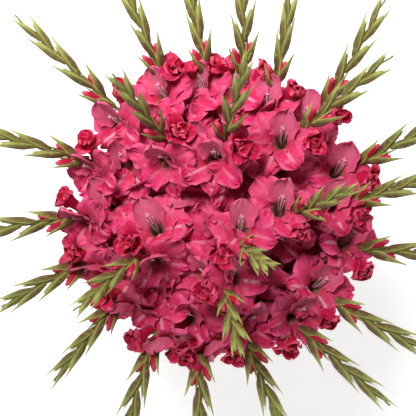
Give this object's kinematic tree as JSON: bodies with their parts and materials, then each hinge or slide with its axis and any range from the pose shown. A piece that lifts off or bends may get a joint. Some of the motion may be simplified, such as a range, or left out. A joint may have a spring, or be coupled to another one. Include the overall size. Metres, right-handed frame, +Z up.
{
  "type": "cut gladioli",
  "caption": "Bunch of pink cut gladioli tied in a spiral, standing on its splayed stem ends, with open florets, red buds and green bract tips radiating outwards.",
  "frame": {"origin": "middle of the bunch's outer box, on the surface that the cut stem ends stand on", "axes": "+Z up along the bunch from the cut ends to the flowers; +Y towards the side that the picture shows at its top; +X to the picture's right"},
  "size_m": [0.8424, 0.7966, 0.8785],
  "materials": {
    "stem": "satin",
    "flower_spike": "satin",
    "leaf": "satin",
    "twine": "matt"
  },
  "bodies": {
    "root": {"stem_01": "stem", "stem_02": "stem", "stem_03": "stem", "stem_04": "stem", "stem_05": "stem", "stem_06": "stem", "stem_07": "stem", "stem_08": "stem", "stem_09": "stem", "stem_10": "stem", "stem_11": "stem", "stem_12": "stem", "stem_13": "stem", "stem_14": "stem", "stem_15": "stem", "stem_16": "stem", "stem_17": "stem", "stem_18": "stem", "stem_19": "stem", "stem_20": "stem", "stem_21": "stem", "stem_22": "stem", "stem_23": "stem", "stem_24": "stem", "stem_25": "stem", "spike_01": "flower_spike", "spike_02": "flower_spike", "spike_03": "flower_spike", "spike_04": "flower_spike", "spike_05": "flower_spike", "spike_06": "flower_spike", "spike_07": "flower_spike", "spike_08": "flower_spike", "spike_09": "flower_spike", "spike_10": "flower_spike", "spike_11": "flower_spike", "spike_12": "flower_spike", "spike_13": "flower_spike", "spike_14": "flower_spike", "spike_15": "flower_spike", "spike_16": "flower_spike", "spike_17": "flower_spike", "spike_18": "flower_spike", "spike_19": "flower_spike", "spike_20": "flower_spike", "spike_21": "flower_spike", "spike_22": "flower_spike", "spike_23": "flower_spike", "spike_24": "flower_spike", "spike_25": "flower_spike", "leaf_01": "leaf", "leaf_02": "leaf", "leaf_03": "leaf", "leaf_04": "leaf", "leaf_05": "leaf", "leaf_06": "leaf", "leaf_07": "leaf", "leaf_08": "leaf", "leaf_09": "leaf", "binding": "twine"}
  },
  "joints": []
}
